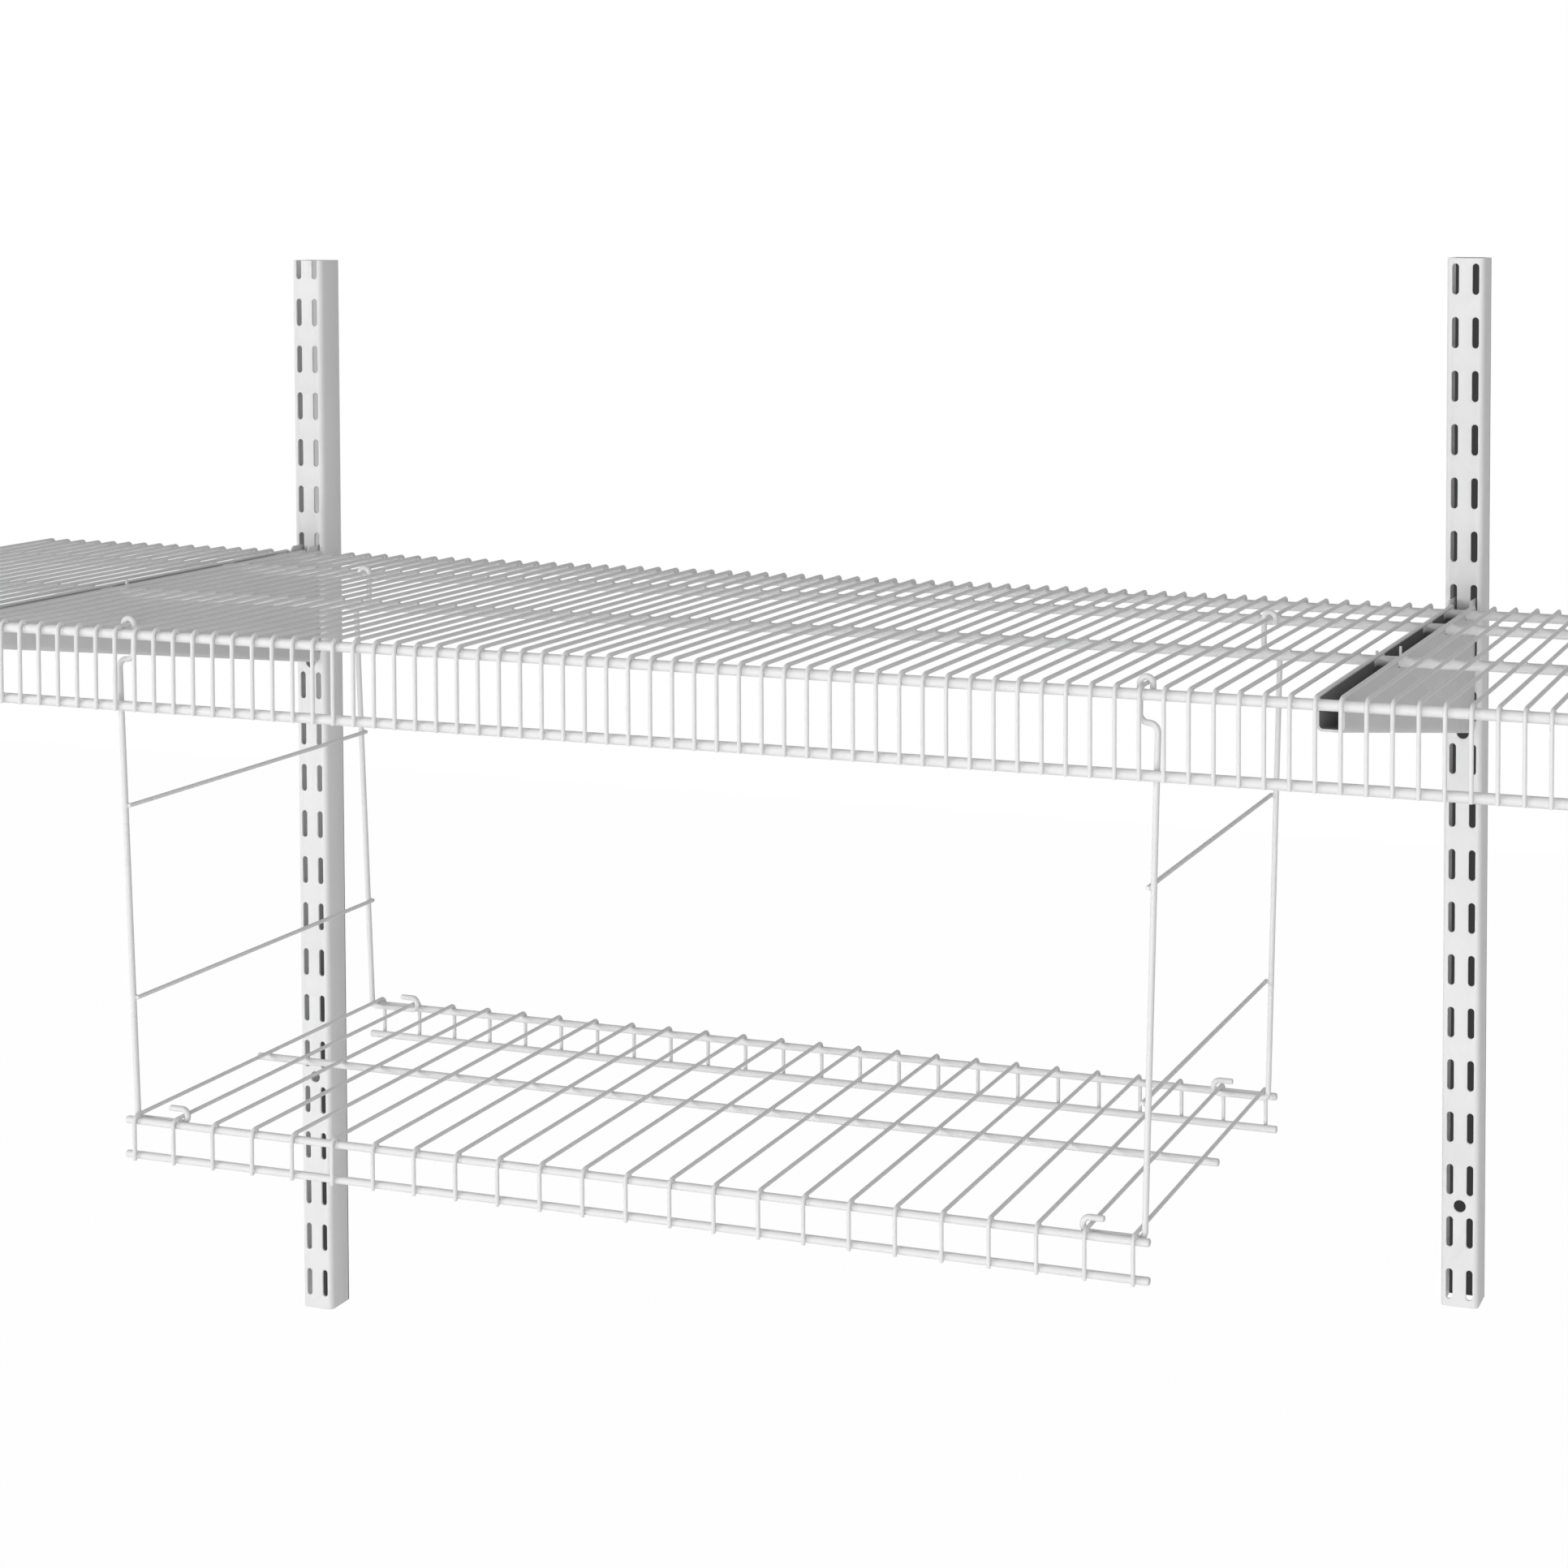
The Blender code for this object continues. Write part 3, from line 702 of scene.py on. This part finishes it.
# Standards
def channel_outline(centre_x, half, face_y):
    """A standard from above, open at the back."""
    inner = CHANNEL_CORNER - SHEET
    left = centre_x - half + CHANNEL_CORNER
    right = centre_x + half - CHANNEL_CORNER
    y = face_y + CHANNEL_CORNER
    outline = [(centre_x - half, 0)]
    outline += arc((left, y), CHANNEL_CORNER, 180, 270, ARC_FACETS)
    outline += arc((right, y), CHANNEL_CORNER, 270, 360, ARC_FACETS)
    outline += [(centre_x + half, 0), (centre_x + half - SHEET, 0)]
    outline += arc((right, y), inner, 360, 270, ARC_FACETS)
    outline += arc((left, y), inner, 270, 180, ARC_FACETS)
    outline.append((centre_x - half + SHEET, 0))
    return outline


def slot_outline(x, z):
    half = SLOT_WIDTH / 2
    straight = SLOT_LENGTH / 2 - half
    outline = arc((x, z + straight), half, 0, 180, SLOT_FACETS)
    return outline + arc((x, z - straight), half, 180, 360, SLOT_FACETS)


def standard(node, coat, rim_coat):
    low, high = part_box(node)
    centre_x = (low.x + high.x) / 2
    ends = (low.z, high.z)
    web = (low.y + 2 * SHEET, low.y - SHEET)
    outline = channel_outline(centre_x, (high.x - low.x) / 2, low.y)
    shape = extruded(outline, lambda x, y, end: (x, y, ends[end]))
    obj = mesh_object(node + "_coated", *shape)
    holes = []
    first_row = math.ceil((low.z - SLOT_ROW_Z) / SLOT_PITCH)
    last_row = math.floor((high.z - SLOT_ROW_Z) / SLOT_PITCH)
    for row in range(first_row, last_row + 1):
        z = SLOT_ROW_Z + row * SLOT_PITCH
        holes += [slot_outline(centre_x + side * SLOT_COLUMN, z) for side in (-1, 1)]
    for step in (-1, 0, 1):
        z = SLOT_ROW_Z + (SCREW_OFFSET_ROWS + step * SCREW_ROWS) * SLOT_PITCH
        if low.z < z < high.z:
            holes.append(arc((centre_x, z), SCREW_HOLE, 0, 360, HOLE_FACETS)[:-1])
    cuts = [extruded(hole, lambda x, z, end: (x, web[end], z)) for hole in holes]
    combine(obj, joined(cuts), "DIFFERENCE")
    break_edges(obj, PUNCHED_EDGE, coat, rim_coat)
    finished(obj, "standards", coat, "standard", node)


# Brackets
def bracket_section(centre_x, half, y, bottom):
    """A bracket's U, open at the top, at its heel or its nose."""
    inner_half = half - BRACKET_SHEET
    inner = BRACKET_CORNER - BRACKET_SHEET
    flat = half - BRACKET_CORNER
    z = bottom + BRACKET_CORNER
    outline = [(-half, BRACKET_TOP_Z)]
    outline += arc((-flat, z), BRACKET_CORNER, 180, 270, ARC_FACETS)
    outline += arc((flat, z), BRACKET_CORNER, 270, 360, ARC_FACETS)
    outline += [(half, BRACKET_TOP_Z), (inner_half, BRACKET_TOP_Z)]
    outline += arc((flat, z), inner, 360, 270, ARC_FACETS)
    outline += arc((-flat, z), inner, 270, 180, ARC_FACETS)
    outline.append((-inner_half, BRACKET_TOP_Z))
    return [Vector((centre_x + x, y, height)) for x, height in outline]


def notch_outline(rod_y, rod_radius):
    """A bracket's notch from the side, rounded at the bottom to the rod."""
    front = rod_y - rod_radius - NOTCH_FRONT_GAP
    back = rod_y + rod_radius + GAP
    bottom = -rod_radius - GAP
    top = BRACKET_TOP_Z + rod_radius
    corner = rod_radius * NOTCH_CORNER_SHARE
    corners = [
        (back, top, 0),
        (front, top, 0),
        (front, bottom, corner),
        (back, bottom, corner),
        (back, top, 0),
    ]
    return rounded(corners, NOTCH_FACETS)[:-1]


def hook_outline(face_y, row, shoulder):
    """A bracket's hook from the side, and the shoulder that carries the top one."""
    low = SLOT_ROW_Z + row * SLOT_PITCH - SLOT_LENGTH / 2 + HOOK_GAP
    high = TONGUE_TOP_Z + row * SLOT_PITCH
    inside = face_y + SHEET + HOOK_GAP
    heel = face_y - GAP
    root = heel - SHOULDER_LENGTH
    outline = [
        (inside + TONGUE_REACH, high),
        (inside + TONGUE_REACH, low - HOOK_DROP),
        (inside, low - HOOK_DROP),
        (inside, low),
        (heel - SHEET, low),
    ]
    if not shoulder:
        return [*outline, (root, low), (root, high)]
    return [
        *outline,
        (heel - SHEET, BRACKET_TOP_Z - SHOULDER_ROOT),
        (root, BRACKET_TOP_Z - SHOULDER_ROOT),
        (root, 0),
        (root + SHOULDER_RUN, high),
    ]


def finger_outline(rod_y, rod_radius, top):
    """The finger behind the front middle rod, with a round top."""
    back = rod_y + rod_radius + GAP
    root = BRACKET_TOP_Z - FINGER_ROOT
    half = (FINGER_WIDTH - GAP) / 2
    outline = [(back + FINGER_WIDTH, root), (back + GAP, root)]
    return outline + arc((back + GAP + half, top - half), half, 180, 0, ARC_FACETS)


def bracket(node, standard_node, coat, rim_coat, fold_shade_coat):
    low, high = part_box(node)
    centre_x = (low.x + high.x) / 2
    half = (high.x - low.x) / 2
    face_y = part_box(standard_node)[0].y
    rod_radius = half_height("upper_front_rod")
    heel = bracket_section(centre_x, half, face_y - GAP, low.z)
    nose = bracket_section(centre_x, half, low.y, NOSE_BOTTOM_Z)
    obj = mesh_object(node + "_coated", *loft([heel, nose]))
    reach = (centre_x - half - BRACKET_SHEET, centre_x + half + BRACKET_SHEET)
    notches = []
    for rod_node in ("upper_mid_rod_front", "upper_mid_rod_back", "upper_rear_rod"):
        outline = notch_outline(middle(rod_node).y, rod_radius)
        notches.append(extruded(outline, lambda y, z, end: (reach[end], y, z)))
    combine(obj, joined(notches), "DIFFERENCE")
    finger_y = middle("upper_mid_rod_front").y
    hooks = [hook_outline(face_y, row, row == 0) for row in HOOK_ROWS]
    plates = []
    for side, finger_top in ((-1, NUB_TOP_Z), (1, FINGER_TOP_Z)):
        wall = centre_x + side * (half - BRACKET_SHEET / 2)
        sheet = (wall + TONGUE_SHEET / 2, wall - TONGUE_SHEET / 2)
        outlines = [*hooks, finger_outline(finger_y, rod_radius, finger_top)]
        plates += [extruded(spot, lambda y, z, end: (sheet[end], y, z)) for spot in outlines]
    combine(obj, joined(plates), "UNION")
    break_edges(obj, SHEARED_EDGE, coat, rim_coat, fold_shade_coat)
    finished(obj, node, coat, "bracket", node)
    # the inner faces of a bracket get the coat with painted shade
    for face in obj.data.polygons:
        out = face.center.x - centre_x
        faces_in = face.normal.x * out < 0 or face.normal.z > abs(face.normal.x)
        if faces_in and abs(out) < half - BRACKET_SHEET / 2 and face.center.z < BRACKET_TOP_Z:
            face.material_index = FOLD_SHADE_SLOT


# Stage
def floor_material():
    """A pale surface that renders almost white to the camera, and lights nothing by that."""
    material = bpy.data.materials.new("stage_floor")
    tree = emptied_tree(material)
    output = tree.nodes.new("ShaderNodeOutputMaterial")
    diffuse = plain_shader(tree, "ShaderNodeBsdfDiffuse", FLOOR_COLOUR)
    glow = plain_shader(tree, "ShaderNodeEmission", WHITE, 1)
    seen = calculated(tree, "MULTIPLY", seen_rays(tree), FLOOR_WHITE_SHARE)
    tree.links.new(mixed_shader(tree, seen, diffuse, glow), output.inputs["Surface"])
    return material


def wall_material(name, painted_levels):
    """Wall behind a standard: to the camera it glows with painted light and shade set by height,
    which shows through the slots, and it isn't seen from behind.
    """
    material = bpy.data.materials.new(name)
    tree = emptied_tree(material)
    output = tree.nodes.new("ShaderNodeOutputMaterial")
    # painted light and shade: the camera sees a glow set by height, not the wall's lit colour
    shade = mapped(tree, height_in(tree, "Object"), WALL_FADE_Z, painted_levels)
    shown = plain_shader(tree, "ShaderNodeEmission", WHITE, shade)
    clear = plain_shader(tree, "ShaderNodeBsdfTransparent", WHITE)
    diffuse = plain_shader(tree, "ShaderNodeBsdfDiffuse", WALL_COLOUR)
    behind = tree.nodes.new("ShaderNodeNewGeometry").outputs["Backfacing"]
    seen = tree.nodes.new("ShaderNodeLightPath").outputs["Is Camera Ray"]
    to_light = mixed_shader(tree, WALL_CLEAR_SHARE, diffuse, clear)
    to_camera = mixed_shader(tree, behind, shown, clear)
    tree.links.new(mixed_shader(tree, seen, to_light, to_camera), output.inputs["Surface"])
    return material


def stage_sheet(name, corners, material):
    sheet = mesh_object(name, corners, [(0, 1, 2, 3)])
    sheet.data.materials.append(material)


def stage():
    half = FLOOR_SIDE / 2
    floor_corners = ((-half, -half), (half, -half), (half, half), (-half, half))
    stage_sheet("floor", [(x, y, FLOOR_Z) for x, y in floor_corners], floor_material())
    for node, painted_levels in WALL_PAINTED_LIGHT.items():
        name = "wall_behind_" + node
        low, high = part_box(node)
        y = high.y + WALL_STRIP_GAP
        strip_corners = ((low.x, low.z), (high.x, low.z), (high.x, high.z), (low.x, high.z))
        stage_sheet(name, [(x, y, z) for x, z in strip_corners], wall_material(name, painted_levels))


# Light and camera
def area_light(name, place, size, power):
    data = bpy.data.lights.new(name, "AREA")
    data.shape = "RECTANGLE"
    data.size, data.size_y = size
    data.energy = power
    obj = bpy.data.objects.new(name, data)
    obj.location = place
    obj.rotation_mode = "QUATERNION"
    obj.rotation_quaternion = (Vector(LIGHT_TARGET) - Vector(place)).to_track_quat("-Z", "Y")
    bpy.context.scene.collection.objects.link(obj)


def world_light():
    """Soft light that falls off upwards and downwards, and plain white to the camera."""
    world = bpy.data.worlds.new("studio")
    bpy.context.scene.world = world
    tree = emptied_tree(world)
    output = tree.nodes.new("ShaderNodeOutputWorld")
    height = height_in(tree, "Generated")
    above = mapped(tree, height, (0, 1), (WORLD_LEVEL, WORLD_TOP_LEVEL))
    below = mapped(tree, height, (-1, 0), (WORLD_LOW_SHARE, 1))
    level = calculated(tree, "MULTIPLY", above, below)
    soft = plain_shader(tree, "ShaderNodeBackground", WHITE, level)
    white = plain_shader(tree, "ShaderNodeBackground", WHITE, 1)
    tree.links.new(mixed_shader(tree, seen_rays(tree), soft, white), output.inputs["Surface"])


def camera():
    data = bpy.data.cameras.new("photo_camera")
    data.sensor_fit = "HORIZONTAL"
    data.sensor_width = SENSOR_MM
    data.lens = FOCAL_PIXELS * SENSOR_MM / PHOTO_SIDE
    data.shift_x = (PHOTO_SIDE / 2 - AXIS_X_PIXEL) / PHOTO_SIDE
    data.shift_y = (AXIS_Y_PIXEL - PHOTO_SIDE / 2) / PHOTO_SIDE
    data.clip_start = CLIP_START
    data.clip_end = CLIP_END
    ahead = Vector((-math.sin(CAMERA_YAW), math.cos(CAMERA_YAW), 0))
    right = Vector((math.cos(CAMERA_YAW), math.sin(CAMERA_YAW), 0))
    up = Vector((0, 0, 1))
    look = ahead * math.cos(CAMERA_PITCH) + up * math.sin(CAMERA_PITCH)
    head = up * math.cos(CAMERA_PITCH) - ahead * math.sin(CAMERA_PITCH)
    side = right * math.cos(CAMERA_ROLL) + head * math.sin(CAMERA_ROLL)
    head = head * math.cos(CAMERA_ROLL) - right * math.sin(CAMERA_ROLL)
    turn = Matrix((side, head, -look)).transposed()
    obj = bpy.data.objects.new("photo_camera", data)
    obj.matrix_world = Matrix.Translation(CAMERA_PLACE) @ turn.to_4x4()
    bpy.context.scene.collection.objects.link(obj)
    bpy.context.scene.camera = obj


clear_scene()
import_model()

coats = {name: coat_material(name, *looks) for name, looks in COATS.items()}
wire_coats = (coats["wire_coat"], coats["weld_coat"])
standard_coats = (coats["standard_coat"], coats["standard_rim_coat"])
bracket_coats = (coats["bracket_coat"], coats["bracket_rim_coat"], coats["bracket_fold_painted_shade"])

upper_centres = upper_shelf(*wire_coats)
lower_centres, lower_wire_z = lower_shelf(*wire_coats)
left_hook_x = upper_centres[HOOK_OFFSET]
right_hook_x = upper_centres[HOOK_OFFSET + HOOK_SPAN]
hanger("left", -1, left_hook_x, lower_centres[0], lower_wire_z, *wire_coats)
hanger("right", 1, right_hook_x, lower_centres[-1], lower_wire_z, *wire_coats)
for side in ("left", "right"):
    standard_node = side + "_standard"
    standard(standard_node, *standard_coats)
    bracket(side + "_bracket", standard_node, *bracket_coats)

stage()
world_light()
for name, settings in AREA_LIGHTS.items():
    area_light(name, *settings)
camera()
bpy.context.scene.view_settings.view_transform = "Standard"
